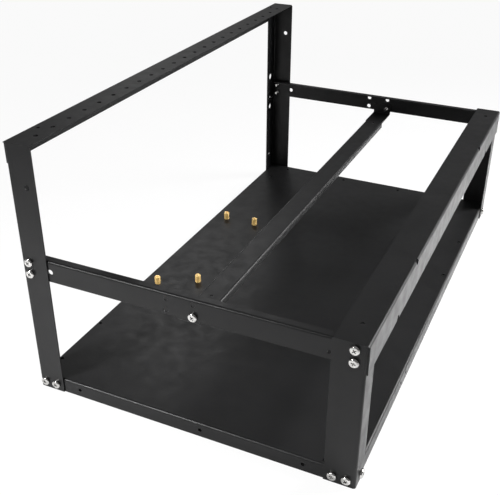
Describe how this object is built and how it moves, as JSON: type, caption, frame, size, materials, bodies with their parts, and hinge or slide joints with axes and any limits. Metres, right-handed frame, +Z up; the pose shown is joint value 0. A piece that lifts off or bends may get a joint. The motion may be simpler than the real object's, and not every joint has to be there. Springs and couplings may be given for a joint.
{
  "type": "mining rig frame",
  "caption": "Open-air frame of folded black sheet steel with a low and a tall side, for a board and a row of expansion cards.",
  "frame": {"origin": "on the ground, under the middle of the frame's outer box", "axes": "+Z up, -Y towards the front, -X towards the tall side with the row of holes"},
  "size_m": [0.3128, 0.5452, 0.244],
  "materials": {
    "black_sheet": "fine matt powder coat",
    "screw_metal": "bright nickel plating",
    "standoff_brass": "turned brass"
  },
  "bodies": {
    "root": {"base_tray": "black_sheet", "front_left_post": "black_sheet", "back_left_post": "black_sheet", "front_right_post": "black_sheet", "back_right_post": "black_sheet", "top_rail": "black_sheet", "low_rail": "black_sheet", "front_cross_member": "black_sheet", "back_cross_member": "black_sheet", "support_beam": "black_sheet", "board_standoff_1": "standoff_brass", "board_standoff_2": "standoff_brass", "board_standoff_3": "standoff_brass", "board_standoff_4": "standoff_brass", "front_left_cross_screws": "screw_metal", "front_left_tray_screws": "screw_metal", "front_left_side_screw": "screw_metal", "back_left_cross_screws": "screw_metal", "back_left_tray_screws": "screw_metal", "back_left_side_screw": "screw_metal", "front_right_cross_screws": "screw_metal", "front_right_tray_screws": "screw_metal", "front_right_side_screw": "screw_metal", "back_right_cross_screws": "screw_metal", "back_right_tray_screws": "screw_metal", "back_right_side_screw": "screw_metal", "front_beam_screw": "screw_metal", "back_beam_screw": "screw_metal"}
  },
  "joints": []
}
